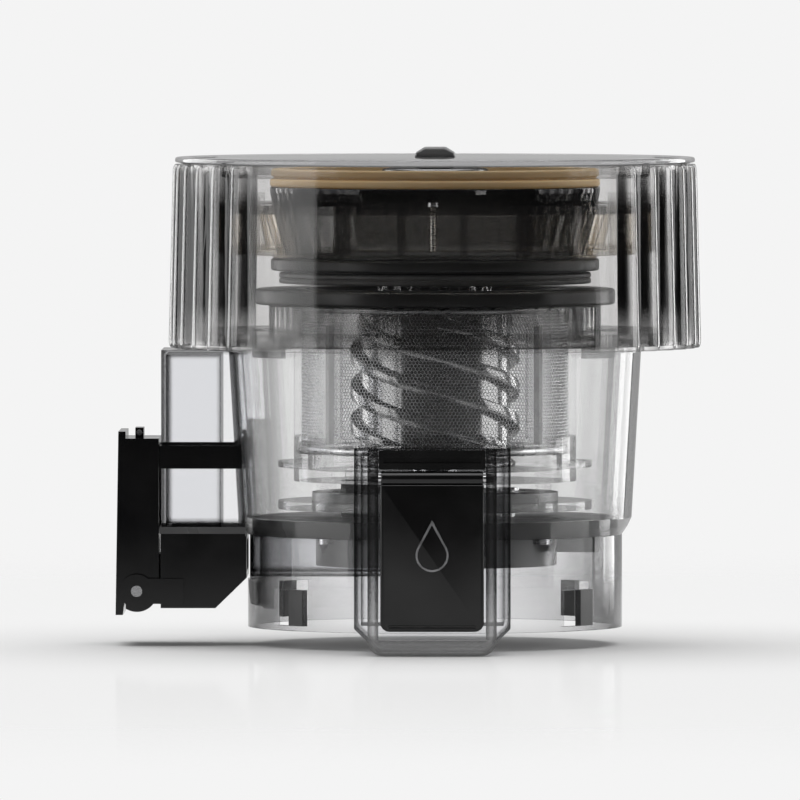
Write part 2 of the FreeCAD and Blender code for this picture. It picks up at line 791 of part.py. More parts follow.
def drop_wire(width, low, high, y):
    """A drop: a round bottom and two straight sides that meet at the tip."""
    radius = width / 2
    centre = low + radius
    rise = high - centre
    lean = math.acos(radius / rise)
    side_x = radius * math.sin(lean)
    side_z = centre + radius * math.cos(lean)
    tip = FreeCAD.Vector(0, y, high)
    left = FreeCAD.Vector(-side_x, y, side_z)
    right = FreeCAD.Vector(side_x, y, side_z)
    bottom = Part.Arc(right, FreeCAD.Vector(0, y, low), left).toShape()
    return Part.Wire([Part.makeLine(tip, right), bottom, Part.makeLine(left, tip)])


def build_drop_icon():
    line = size("drop_line")
    width = size("drop_width")
    low = size("drop_low")
    high = size("drop_high")
    y = size("cap_front")
    rise = FreeCAD.Vector(0, -size("drop_rise"), 0)
    outer = Part.Face(drop_wire(width, low, high, y)).extrude(rise)
    inner = Part.Face(drop_wire(width - 2 * line, low + line, high - 2.4 * line, y)).extrude(rise)
    return node("drop_icon", coded(outer.cut(inner)))


# Pulp outlet


def build_pulp_chute():
    rim_side = cylinder("rim_radius + 0.1", "bowl_rim - rim_depth - 0.1", "bowl_rim")
    outer = box("chute_left", "-50", "-chute_half", "chute_half", "chute_low", "chute_high")
    half = "(chute_half - chute_wall)"
    way = box("chute_left + chute_wall", "-76", f"-{half}", half, "chute_low", "chute_high - chute_wall")
    node("pulp_chute", cut(outer, bowl_side(), bowl_foot(), rim_side, way))
    half = "(chute_half + band_rise)"
    band_outer = box("chute_left - band_rise", "-50", f"-{half}", half, "band_low", "band_high")
    half = "(chute_half + 0.05)"
    passage = box("chute_left - 0.05", "-40", f"-{half}", half, "band_low", "band_high")
    node("chute_band", cut(band_outer, passage, bowl_side()))
    sill = box("chute_left - 0.6", "-60", "-chute_half - 0.6", "chute_half + 0.6", "sill_low", "chute_low")
    hole = box("chute_left + 3", "-76", "3 - chute_half", "chute_half - 3", "sill_low", "chute_low")
    node("chute_sill", cut(sill, bowl_foot(), hole))


def build_pulp_elbow():
    """A black duct under the chute. Its bottom slants up to the skirt, where the channel joins it."""
    left = size("chute_left") - 0.2
    right = size("elbow_right")
    bend = size("elbow_bend")
    low = size("elbow_low")
    high = size("sill_low")
    slope_end = size("elbow_right_low")
    wall = size("elbow_wall")
    half = size("chute_half")
    outline = [(left, low), (bend, low), (right, slope_end), (right, high), (left, high)]
    inline = [(left, low + wall + 3), (bend, low + wall), (right, slope_end + wall)]
    inline += [(right, high - wall), (left, high - wall)]
    shell = extruded([FreeCAD.Vector(x, -half, z) for x, z in outline], FreeCAD.Vector(0, 2 * half, 0))
    narrow = half - wall - 4
    way = extruded([FreeCAD.Vector(x, -narrow, z) for x, z in inline], FreeCAD.Vector(0, 2 * narrow, 0))
    top_way = box("chute_left + 3", "-76", "3 - chute_half", "chute_half - 3", "sill_low - 6", "sill_low")
    skirt_side = cylinder("skirt_radius + 0.1", "0", "floor_low")
    lugs = []
    lug_sides = [("-lever_half - 3.4", "-lever_half - 0.6"), ("lever_half + 0.6", "lever_half + 3.4")]
    for low_y, high_y in lug_sides:
        disc = rod_along_y("lug_radius", low_y, high_y, "lever_pin_x", "lever_pin_z")
        arm = box("lever_pin_x", "chute_left + 8", low_y, high_y, "lever_pin_z - 4.5", "lever_pin_z + 4.5")
        lugs += [disc, arm]
    hole_half = "(lever_half + 4)"
    pin_half = "(lever_half + 3.8)"
    hinge = rod_along_y("lever_pin_radius + 0.02", f"-{hole_half}", hole_half, "lever_pin_x", "lever_pin_z")
    body = cut(shell, way, top_way, skirt_side, bowl_foot())
    node("pulp_elbow", cut(fuse(body, *lugs), hinge))
    node("lever_pin", rod_along_y("lever_pin_radius", f"-{pin_half}", pin_half, "lever_pin_x", "lever_pin_z"))
    start = "1 - skirt_radius"
    outer = box(start, "channel_right", "-channel_half", "channel_half", "channel_low", "floor_low")
    half = "(channel_half - channel_wall)"
    end = "channel_right - channel_wall"
    inner = box(start, end, f"-{half}", half, "channel_low + channel_wall", "floor_low")
    node("pulp_channel", cut(outer, inner))


def build_pulp_lever():
    pin_x = "lever_pin_x"
    pin_z = "lever_pin_z"
    shell = box("lever_left", "lever_right", "-lever_half", "lever_half", pin_z, "lever_high")
    barrel = rod_along_y("lever_heel", "-lever_half", "lever_half", pin_x, pin_z)
    heel = common(barrel, box("lever_left", "lever_right", "-lever_half", "lever_half", "0", pin_z))
    half = "(lever_half - lever_wall)"
    pocket_low = f"{pin_z} + 22"
    pocket_left = "lever_left + lever_wall"
    pocket = box(pocket_left, "lever_right", f"-{half}", half, pocket_low, "lever_high - lever_wall")
    bore = rod_along_y("lever_pin_radius + fit_gap", "-lever_half", "lever_half", pin_x, pin_z)
    node("pulp_lever", cut(fuse(shell, heel), pocket, bore))
    top_left = size("lever_left")
    wall = size("plate_wall")
    low = size("plate_low")
    high = size("plate_high")
    half = size("lever_half")
    heel_z = size("lever_pin_z")
    tail = top_left - wall - 1
    outline = [(top_left, high), (top_left - wall, high), (tail, low), (tail + wall, low), (top_left, heel_z)]
    plate = extruded([FreeCAD.Vector(x, -half, z) for x, z in outline], FreeCAD.Vector(0, 2 * half, 0))
    inside = box("lever_left", "lever_right", "-lever_half", "lever_half", "0", "lever_high")
    node("lever_plate", cut(plate, inside))
    ear = box("ear_left", "ear_right", "-ear_half", "ear_half", "lever_high", "ear_high")
    latch_bore = rod_along_y("latch_radius + 0.02", "-ear_half", "ear_half", "latch_x", "latch_z")
    node("lever_ear", cut(ear, latch_bore))
    node("latch_pin", rod_along_y("latch_radius", "-latch_half", "latch_half", "latch_x", "latch_z"))
    half = "lever_seal_half"
    seal_right = "lever_right + lever_seal_depth"
    node("lever_seal", box("lever_right", seal_right, f"-{half}", half, "lever_seal_low", "lever_seal_high"))


BUILDERS = [
    build_base_skirt,
    build_bayonet_blocks,
    build_bowl_floor,
    build_floor_screws,
    build_juice_bowl,
    build_drive_parts,
    build_gears,
    build_strainer,
    build_wiper,
    build_auger_screw,
    build_auger_top,
    build_hopper_drum,
    build_hopper_floor,
    build_feed_parts,
    build_lid,
    build_outlet,
    build_drop_icon,
    build_pulp_chute,
    build_pulp_elbow,
    build_pulp_lever,
]
for build in BUILDERS:
    build()
doc.recompute()

failed = [item.Label for item in doc.Objects if {"Invalid", "Error"} & set(item.State)]
for name, item in nodes.items():
    if item.Shape.isNull() or not item.Shape.isValid() or not item.Shape.Solids:
        failed.append(name)
if failed:
    raise RuntimeError(f"these objects failed: {failed}")

os.makedirs("parts", exist_ok=True)
for name, item in nodes.items():
    item.Shape.exportStep(f"parts/{name}.step")
print(f"{len(nodes)} parts written")
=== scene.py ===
"""Looks of the juicing chamber. Outlines are in millimetres; a mesh is made in metres."""

import bmesh
import bpy
import json
import math
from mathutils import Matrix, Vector


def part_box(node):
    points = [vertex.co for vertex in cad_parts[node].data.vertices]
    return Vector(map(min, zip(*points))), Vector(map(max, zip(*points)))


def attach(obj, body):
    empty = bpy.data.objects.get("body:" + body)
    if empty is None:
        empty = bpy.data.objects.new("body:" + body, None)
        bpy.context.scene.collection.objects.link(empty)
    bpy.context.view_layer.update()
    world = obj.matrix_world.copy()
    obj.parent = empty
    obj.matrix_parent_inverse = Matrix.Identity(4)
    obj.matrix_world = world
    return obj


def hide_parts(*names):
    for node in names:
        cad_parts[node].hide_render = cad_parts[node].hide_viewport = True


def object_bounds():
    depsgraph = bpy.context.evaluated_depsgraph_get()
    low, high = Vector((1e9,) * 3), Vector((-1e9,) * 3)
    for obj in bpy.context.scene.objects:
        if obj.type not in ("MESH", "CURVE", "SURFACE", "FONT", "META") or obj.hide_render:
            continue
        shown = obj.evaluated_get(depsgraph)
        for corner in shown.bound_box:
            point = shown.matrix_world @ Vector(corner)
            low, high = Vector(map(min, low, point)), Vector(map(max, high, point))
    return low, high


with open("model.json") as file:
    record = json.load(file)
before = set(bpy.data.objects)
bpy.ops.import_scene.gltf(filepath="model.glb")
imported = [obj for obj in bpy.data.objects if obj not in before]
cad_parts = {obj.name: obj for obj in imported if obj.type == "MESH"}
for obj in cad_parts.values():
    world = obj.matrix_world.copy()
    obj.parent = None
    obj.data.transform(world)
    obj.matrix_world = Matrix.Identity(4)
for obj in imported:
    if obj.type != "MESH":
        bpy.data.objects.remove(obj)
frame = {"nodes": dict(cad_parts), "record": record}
cad_low, cad_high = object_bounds()

MM = 0.001
SMOOTH_ANGLE = math.radians(35)
TURN_STEPS = 192
AXIS = 0.01
BODIES = frame["record"]["behaviour"]["bodies"]
NODE_BODY = {node: body for body, members in BODIES.items() for node in members}


def box_mm(node):
    """A CAD node's lowest and highest corner in millimetres."""
    low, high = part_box(node)
    return [v / MM for v in low], [v / MM for v in high]


def outer_radius(node):
    """The radius of a CAD node that is round about the axis."""
    return box_mm(node)[1][1]


def z_span(node):
    low, high = box_mm(node)
    return low[2], high[2]


# Materials


def new_tree(name):
    material = bpy.data.materials.new(name)
    material.use_nodes = True
    tree = material.node_tree
    tree.nodes.clear()
    output = tree.nodes.new("ShaderNodeOutputMaterial")
    return material, tree, output


def add(tree, kind, **values):
    """A node with its plain settings and its input values."""
    made = tree.nodes.new(kind)
    for key, value in values.items():
        if key in made.inputs:
            made.inputs[key].default_value = value
        else:
            setattr(made, key, value)
    return made


def noise(tree, scale, detail=3.0, stretch=(1, 1, 1)):
    """Noise in the object's own coordinates, stretched along an axis where it is brushed."""
    where = tree.nodes.new("ShaderNodeTexCoord")
    mapping = tree.nodes.new("ShaderNodeMapping")
    mapping.inputs["Scale"].default_value = stretch
    made = add(tree, "ShaderNodeTexNoise", Scale=scale, Detail=detail)
    tree.links.new(where.outputs["Object"], mapping.inputs["Vector"])
    tree.links.new(mapping.outputs["Vector"], made.inputs["Vector"])
    return made.outputs["Fac"]


def ranged(tree, value, low, high, start=0.3, end=0.7):
    """A value from start to end, spread from low to high."""
    made = add(tree, "ShaderNodeMapRange")
    made.inputs["From Min"].default_value = start
    made.inputs["From Max"].default_value = end
    made.inputs["To Min"].default_value = low
    made.inputs["To Max"].default_value = high
    tree.links.new(value, made.inputs["Value"])
    return made.outputs["Result"]


def bumped(tree, value, strength, distance):
    made = add(tree, "ShaderNodeBump", Strength=strength, Distance=distance)
    tree.links.new(value, made.inputs["Height"])
    return made.outputs["Normal"]


def blended_colour(tree, value, first, second):
    """A mix of two colours, where the first may also be another node's output."""
    made = add(tree, "ShaderNodeMix", data_type="RGBA")
    colours = [s for s in made.inputs if s.type == "RGBA"]
    if isinstance(first, bpy.types.NodeSocket):
        tree.links.new(first, colours[0])
    else:
        colours[0].default_value = (*first, 1)
    colours[1].default_value = (*second, 1)
    tree.links.new(value, made.inputs["Factor"])
    return [s for s in made.outputs if s.type == "RGBA"][0]


def raised(tree, value, power):
    made = add(tree, "ShaderNodeMath", operation="POWER")
    made.inputs[1].default_value = power
    tree.links.new(value, made.inputs[0])
    return made.outputs[0]


def solid_plastic(name, colour, worn, rough, grain_scale=900.0, grain=0.15, index=1.49):
    """Moulded plastic: slight colour drift, smudged gloss and a fine moulded grain."""
    material, tree, output = new_tree(name)
    shader = add(tree, "ShaderNodeBsdfPrincipled", IOR=index)
    drift = ranged(tree, noise(tree, 35.0), 0.0, 1.0)
    tree.links.new(blended_colour(tree, drift, colour, worn), shader.inputs["Base Color"])
    smudge = ranged(tree, noise(tree, 60.0, 6.0), rough * 0.75, rough * 1.35)
    tree.links.new(smudge, shader.inputs["Roughness"])
    tree.links.new(bumped(tree, noise(tree, grain_scale, 2.0), grain, 0.00006), shader.inputs["Normal"])
    tree.links.new(shader.outputs["BSDF"], output.inputs["Surface"])
    return material


def painted_edge_shade(radius):
    """A painted dark outline that is 1 along the edges of a piece and 0 on its faces. It stands in for the
    dark lines that refraction gives the edges of clear plastic.
    """
    def build(tree):
        soft = add(tree, "ShaderNodeBevel", samples=4, Radius=radius)
        shape = tree.nodes.new("ShaderNodeNewGeometry")
        dot = add(tree, "ShaderNodeVectorMath", operation="DOT_PRODUCT")
        tree.links.new(soft.outputs["Normal"], dot.inputs[0])
        tree.links.new(shape.outputs["True Normal"], dot.inputs[1])
        return ranged(tree, dot.outputs["Value"], 1.0, 0.0, 0.90, 0.995)
    return build


def attribute_shade(name):
    """A painted shade that a mesh carries in one of its own attributes."""
    def build(tree):
        return add(tree, "ShaderNodeAttribute", attribute_name=name).outputs["Fac"]
    return build


def clear_plastic(name, face, edge, power=2.5, haze=0.02, haze_colour=(0.8, 0.8, 0.82),
                  rough=0.035, index=1.4, shade=None, painted_shade_colour=None):
    """A thin clear wall, which tints most where it is seen edge on and mirrors by its angle. The dark edge-on
    tint is partly the longer path through the wall and partly painted shade for the dark edge lines that
    refraction gives. A shade, where given, paints a darker colour over it.
    """
    material, tree, output = new_tree(name)
    facing = add(tree, "ShaderNodeLayerWeight", Blend=0.5).outputs["Facing"]
    # Darker towards the edge colour where the wall is seen edge on: partly the longer path through it, partly
    # painted shade.
    tint = blended_colour(tree, raised(tree, facing, power), face, edge)
    if shade:
        tint = blended_colour(tree, shade(tree), tint, painted_shade_colour)
    through = tree.nodes.new("ShaderNodeBsdfTransparent")
    tree.links.new(tint, through.inputs["Color"])
    straight = ((index - 1) / (index + 1)) ** 2
    mirror = ranged(tree, raised(tree, facing, 5.0), straight, 1.0, 0.0, 1.0)
    gloss = tree.nodes.new("ShaderNodeBsdfGlossy")
    smudge = ranged(tree, noise(tree, 45.0, 6.0), rough * 0.6, rough * 1.8)
    tree.links.new(smudge, gloss.inputs["Roughness"])
    wave = bumped(tree, noise(tree, 28.0, 2.0), 0.08, 0.0006)
    tree.links.new(wave, gloss.inputs["Normal"])
    surface = tree.nodes.new("ShaderNodeMixShader")
    tree.links.new(mirror, surface.inputs["Fac"])
    tree.links.new(through.outputs["BSDF"], surface.inputs[1])
    tree.links.new(gloss.outputs["BSDF"], surface.inputs[2])
    dull = add(tree, "ShaderNodeBsdfDiffuse", Color=(*haze_colour, 1))
    film = tree.nodes.new("ShaderNodeMixShader")
    tree.links.new(ranged(tree, noise(tree, 22.0, 5.0), haze * 0.5, haze * 1.6), film.inputs["Fac"])
    tree.links.new(surface.outputs["Shader"], film.inputs[1])
    tree.links.new(dull.outputs["BSDF"], film.inputs[2])
    tree.links.new(film.outputs["Shader"], output.inputs["Surface"])
    return material


def steel(name, colour, rough, stretch):
    """Stainless steel with drawn lines along its length or round it."""
    material, tree, output = new_tree(name)
    shader = add(tree, "ShaderNodeBsdfPrincipled", Metallic=1.0)
    lines = noise(tree, 260.0, 4.0, stretch)
    shadow = [value * 0.8 for value in colour]
    blend = blended_colour(tree, ranged(tree, lines, 0, 1), colour, shadow)
    tree.links.new(blend, shader.inputs["Base Color"])
    tree.links.new(ranged(tree, lines, rough * 0.7, rough * 1.4), shader.inputs["Roughness"])
    tree.links.new(bumped(tree, lines, 0.12, 0.00005), shader.inputs["Normal"])
    tree.links.new(shader.outputs["BSDF"], output.inputs["Surface"])
    return material


def silicone(name, colour, worn, clear=0.0):
    """Soft silicone: a dull skin with a little light inside, and dust caught in it."""
    material, tree, output = new_tree(name)
    shader = add(tree, "ShaderNodeBsdfPrincipled", IOR=1.41)
    shader.inputs["Subsurface Weight"].default_value = 0.15
    shader.inputs["Subsurface Radius"].default_value = (0.002, 0.0015, 0.001)
    drift = ranged(tree, noise(tree, 50.0, 4.0), 0.0, 1.0)
    tree.links.new(blended_colour(tree, drift, colour, worn), shader.inputs["Base Color"])
    tree.links.new(ranged(tree, noise(tree, 300.0, 4.0), 0.38, 0.6), shader.inputs["Roughness"])
    tree.links.new(bumped(tree, noise(tree, 700.0, 2.0), 0.2, 0.00008), shader.inputs["Normal"])
    if not clear:
        tree.links.new(shader.outputs["BSDF"], output.inputs["Surface"])
        return material
    through = add(tree, "ShaderNodeBsdfTransparent", Color=(*worn, 1))
    both = add(tree, "ShaderNodeMixShader", Fac=clear)
    tree.links.new(shader.outputs["BSDF"], both.inputs[1])
    tree.links.new(through.outputs["BSDF"], both.inputs[2])
    tree.links.new(both.outputs["Shader"], output.inputs["Surface"])
    return material


# Edge colours are the tints seen edge on. They are darker than a thin wall's longer path gives, so they are
# partly painted shade for the dark edge lines of refraction.
CLEAR = clear_plastic("clear_plastic", (0.965, 0.965, 0.965), (0.10, 0.10, 0.10), power=3.5, haze=0.006)
# Clear plastic with painted dark outlines along its edges, in place of the lines that refraction draws there.
PAINTED_OUTLINE_CLEAR = clear_plastic(
    "painted_outline_plastic", (0.965, 0.967, 0.975), (0.30, 0.30, 0.31), power=3.0, haze=0.004,
    shade=painted_edge_shade(0.0028), painted_shade_colour=(0.01, 0.01, 0.011),
)
# The outlet frame's plastic, with painted black outlines along its edges in place of refraction lines.
PAINTED_OUTLINE_FRAME_CLEAR = clear_plastic(
    "frame_plastic", (0.78, 0.78, 0.78), (0.05, 0.05, 0.05), power=2.0, haze=0.004, index=2.4,
    shade=painted_edge_shade(0.0034), painted_shade_colour=(0.002, 0.002, 0.002),
)
BOWL_CLEAR = clear_plastic("bowl_plastic", (0.94, 0.94, 0.94), (0.12, 0.12, 0.12), power=2.3, haze=0.008)
SMOKY = clear_plastic(
    "smoky_plastic", (0.90, 0.897, 0.895), (0.10, 0.10, 0.10), power=2.2, haze=0.006,
    haze_colour=(0.3, 0.3, 0.3), index=1.33,
)
# The reed plastic darkens by the groove attribute: painted shade in the valleys between the reeds.
REED_SMOKY = clear_plastic(
    "reed_plastic", (0.97, 0.967, 0.965), (0.10, 0.10, 0.10), power=1.6, haze=0.004,
    haze_colour=(0.3, 0.3, 0.3), index=1.6, shade=attribute_shade("groove"),
    painted_shade_colour=(0.035, 0.035, 0.035),
)
NECK_SMOKY = clear_plastic(
    "neck_plastic", (0.86, 0.86, 0.86), (0.08, 0.08, 0.08), power=2.0, haze=0.01,
    haze_colour=(0.2, 0.2, 0.2),
)
# The hopper floor's black edge colour paints shade on its sides, where its wall is seen edge on.
FLOOR_SMOKY = clear_plastic(
    "hopper_floor_plastic", (0.93, 0.93, 0.93), (0.0, 0.0, 0.0), power=1.05, haze=0.004,
    haze_colour=(0.2, 0.2, 0.2),
)
# The skirt's dark edge colour is painted reflection: darker bands towards its sides.
SKIRT_CLEAR = clear_plastic(
    "skirt_plastic", (0.945, 0.945, 0.948), (0.05, 0.05, 0.05), power=1.7, haze=0.006,
)
LID_CLEAR = clear_plastic("lid_plastic", (0.93, 0.93, 0.935), (0.42, 0.42, 0.42), power=2.5, haze=0.01)
DARK_SMOKY = clear_plastic(
    "dark_smoky_plastic", (0.11, 0.11, 0.112), (0.01, 0.01, 0.01), power=1.2, haze=0.01,
    haze_colour=(0.03, 0.03, 0.03), index=1.5,
)
FLANGE_SMOKY = clear_plastic(
    "flange_plastic", (0.80, 0.78, 0.75), (0.12, 0.11, 0.10), power=1.4, haze=0.03,
    haze_colour=(0.12, 0.12, 0.12),
)
AMBER = clear_plastic(
    "amber_plastic", (0.99, 0.988, 0.982), (0.66, 0.53, 0.34), power=4.0, haze=0.003,
    haze_colour=(0.60, 0.44, 0.20),
)
BLACK = solid_plastic("black_plastic", (0.006, 0.006, 0.0065), (0.012, 0.012, 0.012), 0.34, grain=0.35)
GLOSS_BLACK = solid_plastic(
    "gloss_black_plastic", (0.0025, 0.0025, 0.003), (0.005, 0.005, 0.005), 0.12, grain_scale=160.0,
    grain=0.04,
)
AUGER_BLACK = solid_plastic(
    "auger_plastic", (0.003, 0.003, 0.003), (0.006, 0.006, 0.006), 0.14, grain_scale=160.0,
    grain=0.03, index=3.2,
)
PANEL_BLACK = solid_plastic(
    "panel_black_plastic", (0.0022, 0.0022, 0.0024), (0.0045, 0.0045, 0.0045), 0.2,
    grain_scale=500.0, grain=0.05,
)
GREY = solid_plastic("grey_plastic", (0.06, 0.06, 0.062), (0.10, 0.10, 0.10), 0.3, grain=0.3)
GEAR_GREY = solid_plastic("gear_plastic", (0.05, 0.05, 0.052), (0.08, 0.08, 0.08), 0.38, grain=0.25)
STEEL = steel("stainless_steel", (0.62, 0.62, 0.63), 0.24, (1, 1, 14))
MESH_STEEL = steel("mesh_steel", (0.80, 0.80, 0.81), 0.3, (1, 1, 6))
SILVER = steel("silver_trim", (0.74, 0.74, 0.76), 0.16, (1, 1, 1))
GREY_SILICONE = silicone("grey_silicone", (0.10, 0.10, 0.10), (0.15, 0.15, 0.15))
CLEAR_SILICONE = silicone("clear_silicone", (0.55, 0.55, 0.56), (0.8, 0.8, 0.8), clear=0.7)
AMBER_SILICONE = silicone("amber_silicone", (0.80, 0.60, 0.33), (0.88, 0.72, 0.45), clear=0.35)


# Mesh tools


def corner_arc(before, corner, after, radius, steps=4):
    """The points of an arc that rounds one corner of an outline."""
    corner, before, after = Vector(corner), Vector(before), Vector(after)
    first, second = (before - corner), (after - corner)
    room = min(first.length, second.length) * 0.48
    first.normalize()
    second.normalize()
    angle = first.angle(second, math.pi)
    if angle > math.radians(176) or radius <= 0:
        return [tuple(corner)]
    reach = min(radius / math.tan(angle / 2), room)
    radius = reach * math.tan(angle / 2)
    centre = corner + (first + second).normalized() * (radius / math.sin(angle / 2))
    start, end = corner + first * reach - centre, corner + second * reach - centre
    sweep = start.angle(end)
    points = []
    for step in range(steps + 1):
        part = step / steps
        mixed = (start * math.sin((1 - part) * sweep) + end * math.sin(part * sweep)) / math.sin(sweep)
        points.append(tuple(centre + mixed))
    return points


def rounded(outline, radius):
    """A closed outline with round corners. A corner's own radius may be its third number."""
    points = []
    count = len(outline)
    for index, corner in enumerate(outline):
        own = corner[2] if len(corner) > 2 else radius
        before, after = outline[index - 1][:2], outline[(index + 1) % count][:2]
        points += corner_arc(before, corner[:2], after, own)
    return points


def finish_mesh(name, mesh, material, node):
    """Smooth shading, material and body of a new piece that stands for a CAD node, whose node it hides."""
    work = bmesh.new()
    work.from_mesh(mesh)
    bmesh.ops.remove_doubles(work, verts=work.verts, dist=1e-7)
    bmesh.ops.recalc_face_normals(work, faces=work.faces)
    work.to_mesh(mesh)
    work.free()
    mesh.polygons.foreach_set("use_smooth", [True] * len(mesh.polygons))
    mesh.set_sharp_from_angle(angle=SMOOTH_ANGLE)
    mesh.materials.append(material)
    piece = bpy.data.objects.new(name, mesh)
    bpy.context.scene.collection.objects.link(piece)
    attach(piece, NODE_BODY[node])
    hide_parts(node)
    return piece


def mesh_from(name, points, faces):
    mesh = bpy.data.meshes.new(name)
    mesh.from_pydata([[v * MM for v in point] for point in points], [], faces)
    mesh.update()
    return mesh


def swept_mesh(name, rings, closed=True):
    """Joins rings of points side by side; closed joins the last ring to the first."""
    count = len(rings[0])
    points = [point for ring in rings for point in ring]
    faces = []
    for index in range(len(rings) if closed else len(rings) - 1):
        first, second = index * count, ((index + 1) % len(rings)) * count
        for step in range(count):
            following = (step + 1) % count
            faces.append((first + step, first + following, second + following, second + step))
    if not closed:
        faces.append(tuple(range(count)))
        faces.append(tuple(reversed(range(len(points) - count, len(points)))))
    return mesh_from(name, points, faces)


def lathe(name, outline, material, node, radius=0.35):
    """A turned piece: a closed outline of (radius, height), swept about the axis."""
    profile = rounded(outline, radius)
    rings = []
    for step in range(TURN_STEPS):
        angle = 2 * math.pi * step / TURN_STEPS
        rings.append([(r * math.cos(angle), r * math.sin(angle), z) for r, z in profile])
    return finish_mesh(name, swept_mesh(name, rings), material, node)


def ring_outline(outer, inner, low, high):
    return [(inner, low), (outer, low), (outer, high), (inner, high)]


def prism(name, outline, low, high, axis, material, node, radius=0.6, soften=0.4):
    """An outline with round corners, extruded along x or y, with softened rims."""
    shape = rounded(outline, radius)
    centre = [sum(p[i] for p in shape) / len(shape) for i in (0, 1)]
    half = [max(abs(p[i] - centre[i]) for p in shape) for i in (0, 1)]
    rings = []
    for part in range(5):
        turn = math.pi / 2 * part / 4
        inset, along = soften * (1 - math.sin(turn)), soften * (1 - math.cos(turn))
        scale = [1 - inset / h for h in half]
        flat = [[centre[i] + (p[i] - centre[i]) * scale[i] for i in (0, 1)] for p in shape]
        rings.append((along, flat))
    placed = [(low + along, flat) for along, flat in rings]
    placed += [(high - along, flat) for along, flat in reversed(rings)]
    if axis == "y":
        loops = [[(p[0], y, p[1]) for p in flat] for y, flat in placed]
    else:
        loops = [[(x, p[0], p[1]) for p in flat] for x, flat in placed]
    return finish_mesh(name, swept_mesh(name, loops, closed=False), material, node)


def keep_cad(node, material, bevel=0.3, segments=2):
    """A CAD node whose shape is right: it gets its material and softened edges."""
    piece = frame["nodes"][node]
    piece.data.materials.clear()
    piece.data.materials.append(material)
    for polygon in piece.data.polygons:
        polygon.material_index = 0
    piece.data.polygons.foreach_set("use_smooth", [True] * len(piece.data.polygons))
    piece.data.set_sharp_from_angle(angle=SMOOTH_ANGLE)
    if bevel:
        soft = piece.modifiers.new("soft_edges", "BEVEL")
        soft.width = bevel * MM
        soft.segments = segments
        soft.limit_method = "ANGLE"
        soft.angle_limit = math.radians(40)
        soft.harden_normals = False
        soft.use_clamp_overlap = True
    return piece


# Hopper and lid


REED_CENTRE = 88.2
REED_PITCH = math.radians(7.5)
REED_LOW, REED_HIGH = 7.0, 5.4
DRUM_INNER = 89.9
WALL_LOW, WALL_HIGH = 92.4, 91.4
END_ROUND = 3.0
# Where the painted dark shade in the valleys between the reeds begins and where it is full, as a share of
# half a reed's pitch.
GROOVE_SHADE_START, GROOVE_SHADE_FULL = 0.22, 0.6


def reed_offset(angle):
    """The angle to the nearest reed's crest, or None on the smooth front and back."""
    side = math.remainder(angle, math.pi)
    if abs(side) > 6 * REED_PITCH:
        return None
    return math.remainder(side - REED_PITCH / 2, REED_PITCH)


def drum_radius(angle, height, ends):
    """The drum's outer radius; height runs from 0 to 1, and ends shrinks the reeds at their tips."""
    wall = WALL_LOW + (WALL_HIGH - WALL_LOW) * height
    offset = reed_offset(angle)
    if offset is None:
        return wall
    reed = (REED_LOW + (REED_HIGH - REED_LOW) * height) * ends
    across = REED_CENTRE * math.sin(offset)
    if abs(across) >= reed:
        return wall
    return max(wall, REED_CENTRE * math.cos(offset) + math.sqrt(reed * reed - across * across))


def build_drum():
    low, high = z_span("hopper_drum")
    heights = []
    for step in range(7):
        turn = math.pi / 2 * step / 6
        heights.append((END_ROUND * (1 - math.cos(turn)), 0.84 + 0.16 * math.sin(turn)))
    levels = [(low + rise, ends) for rise, ends in heights]
    levels += [(low + (high - low) * part, 1.0) for part in (0.25, 0.5, 0.75)]
    levels += [(high - rise, ends) for rise, ends in reversed(heights)]
    steps = 48 * 16
    rings = []
    for step in range(steps):
        angle = 2 * math.pi * step / steps
        column = [(DRUM_INNER, low + 0.3), (DRUM_INNER + 0.3, low)]
        column += [(drum_radius(angle, (z - low) / (high - low), ends), z) for z, ends in levels]
        column += [(DRUM_INNER + 0.3, high), (DRUM_INNER, high - 0.3)]
        rings.append([(r * math.cos(angle), r * math.sin(angle), z) for r, z in column])
    shell = finish_mesh("drum_shell", swept_mesh("drum_shell", rings), SMOKY, "hopper_drum")
    shell.data.materials.append(REED_SMOKY)
    # The groove attribute paints dark shade into the valleys between the reeds, faded near the drum's ends,
    # in place of the shade and refraction that darken them.
    groove = shell.data.attributes.new("groove", "FLOAT", "POINT")
    for vertex in shell.data.vertices:
        x, y, z = (value / MM for value in vertex.co)
        away = abs(reed_offset(math.atan2(y, x)) or 0) / (REED_PITCH / 2)
        depth = min(1.0, max(0.0, (away - GROOVE_SHADE_START) / (GROOVE_SHADE_FULL - GROOVE_SHADE_START)))
        ends = min(1.0, max(0.0, (z - low - 2) / 3), max(0.0, (high - z - 1) / 3))
        groove.data[vertex.index].value = depth * depth * (3 - 2 * depth) * ends
    for polygon in shell.data.polygons:
        x, y, z = polygon.center
        out, angle = math.hypot(x, y) / MM, math.atan2(y, x)
        if reed_offset(angle) is not None and out > DRUM_INNER + 1:
            polygon.material_index = 1


def build_lid():
    low, high = z_span("hopper_lid")
    edge = outer_radius("hopper_lid")
    dip = high - 0.45
    outline = [(AXIS, low, 0), (edge - 3, low), (edge, low + 0.6, 0.5), (edge, high, 0.9)]
    outline += [(edge - 4.5, high), (edge - 5.2, dip), (edge - 14, dip), (edge - 14.7, high, 0.3)]
    outline += [(AXIS, high, 0)]
    lathe("lid_disc", outline, LID_CLEAR, "hopper_lid")
    low, high = z_span("lid_plug_ring")
    edge = outer_radius("lid_plug_ring")
    outline = [(edge - 2.3, low), (edge - 0.6, low), (edge, low + 1.2), (edge, high), (edge - 2.3, high)]
    lathe("lid_plug", outline, SMOKY, "lid_plug_ring")
    (_, y_low, low), (half, y_high, high) = box_mm("lid_knob")
    outline = [(-half, low, 0.2), (half, low, 0.2), (half, low + 1.4, 1.2), (half - 3.4, high, 2.2)]
    outline += [(3.4 - half, high, 2.2), (-half, low + 1.4, 1.2)]
    prism("knob_tab", outline, y_low, y_high, "y", GREY, "lid_knob", radius=1.2, soften=1.1)


